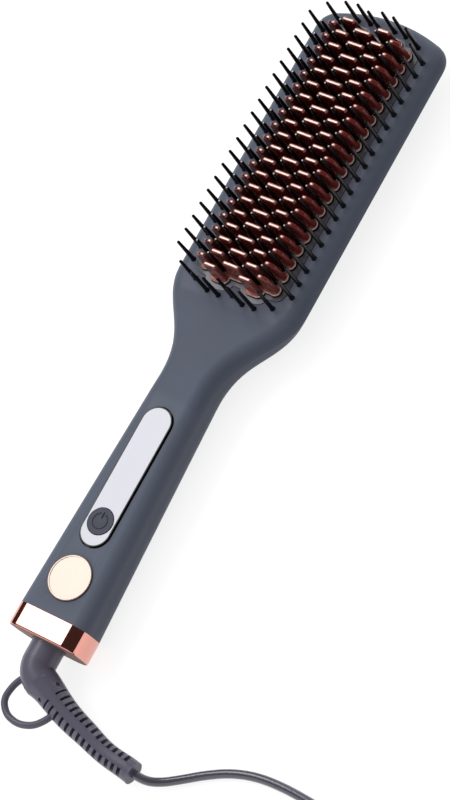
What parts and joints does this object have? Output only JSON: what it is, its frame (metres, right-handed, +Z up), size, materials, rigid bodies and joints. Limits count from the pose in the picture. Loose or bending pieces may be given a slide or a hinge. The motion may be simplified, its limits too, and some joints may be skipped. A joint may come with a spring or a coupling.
{
  "type": "heated straightening brush",
  "caption": "Corded paddle brush with a heated finned plate between cool-tip pins, a tapered grip with a window and button, and a swivelling cord boot with a hang loop.",
  "frame": {"origin": "under the middle of the brush, without its boot and cord, on the plane it lies on", "axes": "+Y along the brush to the head's end, +Z up along the pins, +X to the right seen from above"},
  "size_m": [0.2655, 0.395, 0.0412],
  "materials": {
    "slate_soft_touch": "soft-touch, matte",
    "copper_coat": "cast, dark copper ceramic coat, gloss",
    "bezel_grey": "heat-resistant, satin",
    "pin_nylon": "black, gloss",
    "window_silver": "silvered lens, polished",
    "button_grey": "satin",
    "rose_gold": "rose-gold plated, polished",
    "boot_rubber": "satin",
    "cord_sheath": "smooth sheath",
    "steel": "plain",
    "brass": "plain",
    "element_ceramic": "sintered, matte",
    "mica": "sheet",
    "board": "laminate",
    "black_plastic": "moulded",
    "white_plastic": "moulded",
    "lead_red": "insulated wire",
    "tie_fabric": "woven strap"
  },
  "bodies": {
    "brush": {"front_housing": "slate_soft_touch", "rear_housing": "slate_soft_touch", "housing_screws": "steel", "heater_plate": "copper_coat", "plate_bezel": "bezel_grey", "heating_elements": "element_ceramic", "mica_sheet": "mica", "heater_tray": "steel", "heater_screws": "steel", "temperature_sensor": "black_plastic", "thermal_fuse": "steel", "heater_leads": "lead_red", "sensor_leads": "lead_red", "mains_leads": "lead_red", "control_board": "board", "board_components": "black_plastic", "board_screws": "steel", "display_module": "white_plastic", "display_window": "window_silver", "tact_switch": "black_plastic", "snap_dome": "steel", "badge_disc": "rose_gold", "end_cap": "rose_gold", "contact_block": "black_plastic", "contact_pins": "brass", "left_edge_pins": "pin_nylon", "right_edge_pins": "pin_nylon", "top_edge_pins": "pin_nylon", "lower_edge_pins": "pin_nylon", "inner_pins_left_outer": "pin_nylon", "inner_pins_left": "pin_nylon", "inner_pins_centre": "pin_nylon", "inner_pins_right": "pin_nylon", "inner_pins_right_outer": "pin_nylon"},
    "button": {"power_button": "button_grey", "switch_plunger": "white_plastic"},
    "swivel": {"swivel_hub": "black_plastic", "slip_rings": "brass", "strain_relief_boot": "boot_rubber", "cord_lead": "cord_sheath", "cord_coil": "cord_sheath", "cord_tail": "cord_sheath", "cord_tie": "tie_fabric", "plug_body": "cord_sheath", "plug_pins": "brass"}
  },
  "joints": [
    {"name": "button_press", "type": "slide", "parent": "brush", "child": "button", "axis": [0, 0, -1], "range_m": [0, 0.0008], "stiffness_N_per_m": 1500},
    {"name": "cord_swivel", "type": "hinge", "parent": "brush", "child": "swivel", "pos_m": [0, -0.15, 0.0136], "axis": [0, 1, 0], "continuous": true}
  ]
}
